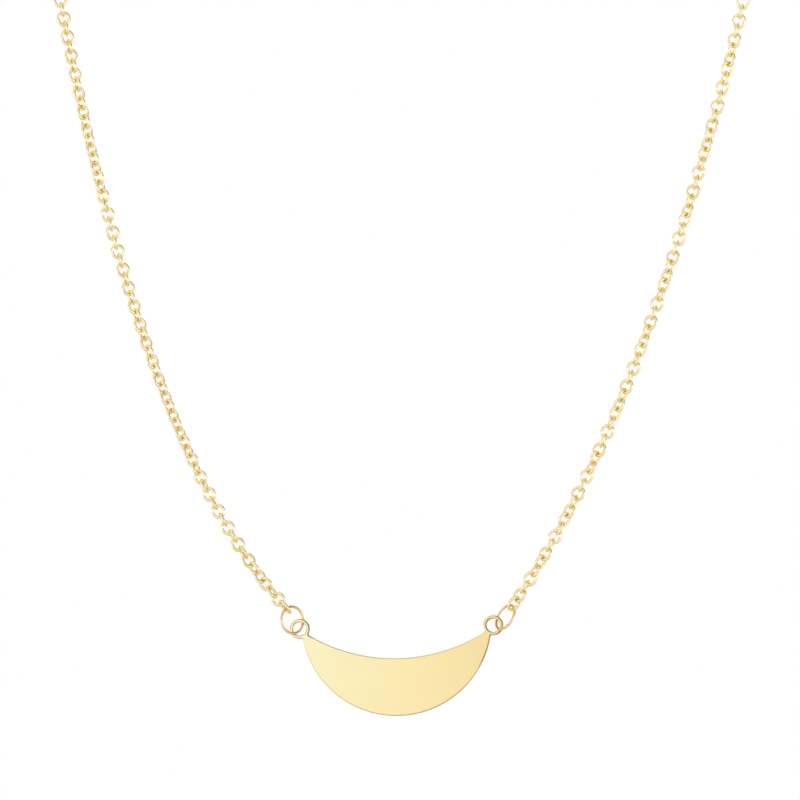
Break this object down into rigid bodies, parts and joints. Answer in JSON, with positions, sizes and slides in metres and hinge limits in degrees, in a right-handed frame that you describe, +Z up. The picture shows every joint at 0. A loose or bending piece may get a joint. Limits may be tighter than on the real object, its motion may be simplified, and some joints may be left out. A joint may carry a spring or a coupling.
{
  "type": "necklace with crescent pendant",
  "caption": "Fine gold neck chain of round links with a flat polished crescent pendant hung between its ends on jump rings, and a slim closed barrel clasp at the nape.",
  "frame": {"origin": "on the axis of the neck, level with the chain at the nape", "axes": "+Z up, +X to the right of someone looking at the pendant, +Y towards the nape, so the pendant faces -Y"},
  "size_m": [0.1023, 0.0853, 0.1341],
  "materials": {
    "pendant_gold": "pale yellow gold, flat and highly polished",
    "ring_gold": "pale yellow gold wire, polished",
    "chain_gold": "pale yellow gold wire links, polished",
    "clasp_gold": "pale yellow gold, polished"
  },
  "bodies": {
    "loop": {"chain_left": "chain_gold", "chain_right": "chain_gold", "clasp": "clasp_gold"},
    "drop": {"pendant": "pendant_gold", "jump_ring_left": "ring_gold", "jump_ring_right": "ring_gold"}
  },
  "joints": [
    {"name": "pendant_swing", "type": "hinge", "parent": "loop", "child": "drop", "pos_m": [-0.0134, -0.045, -0.1203], "axis": [0.9999, 0, 0.0112], "range_deg": [-40, 40]}
  ]
}
